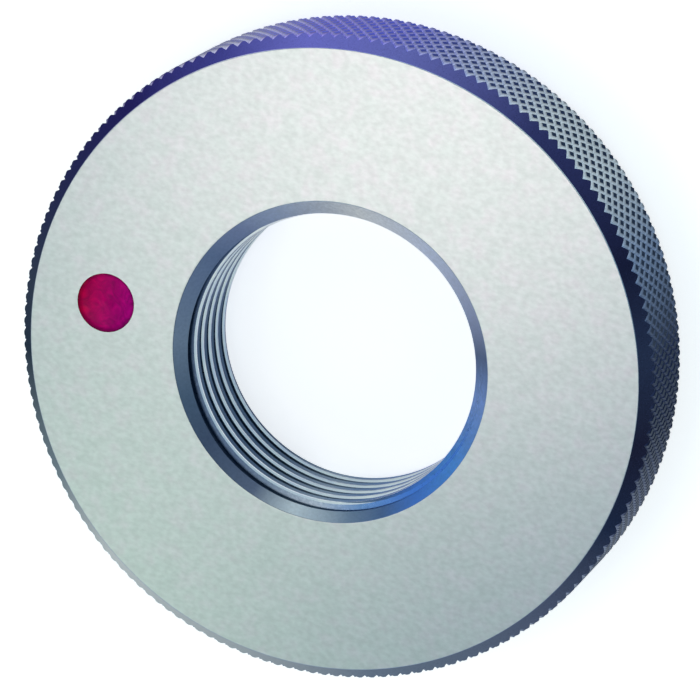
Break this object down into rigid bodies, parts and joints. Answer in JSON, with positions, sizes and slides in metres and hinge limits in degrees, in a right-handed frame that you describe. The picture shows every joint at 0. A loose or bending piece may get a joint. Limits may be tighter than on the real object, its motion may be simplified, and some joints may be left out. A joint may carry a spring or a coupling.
{
  "type": "thread ring gauge",
  "caption": "Solid not-go thread ring gauge: a flat steel ring with a fine right-hand thread in its bore, a diamond-knurled rim and a red mark on one face.",
  "frame": {"origin": "centre of the plain face, which the ring lies on", "axes": "+Z along the bore, from the plain face to the marked face; +X from the centre towards the red mark"},
  "size_m": [0.063, 0.063, 0.012],
  "materials": {
    "gauge_steel": "hardened gauge steel, ground on the faces and left dark on the rim",
    "red_lacquer": "air-dried crimson lacquer, glossy"
  },
  "bodies": {
    "root": {"gauge_ring": "gauge_steel", "red_mark": "red_lacquer"}
  },
  "joints": []
}
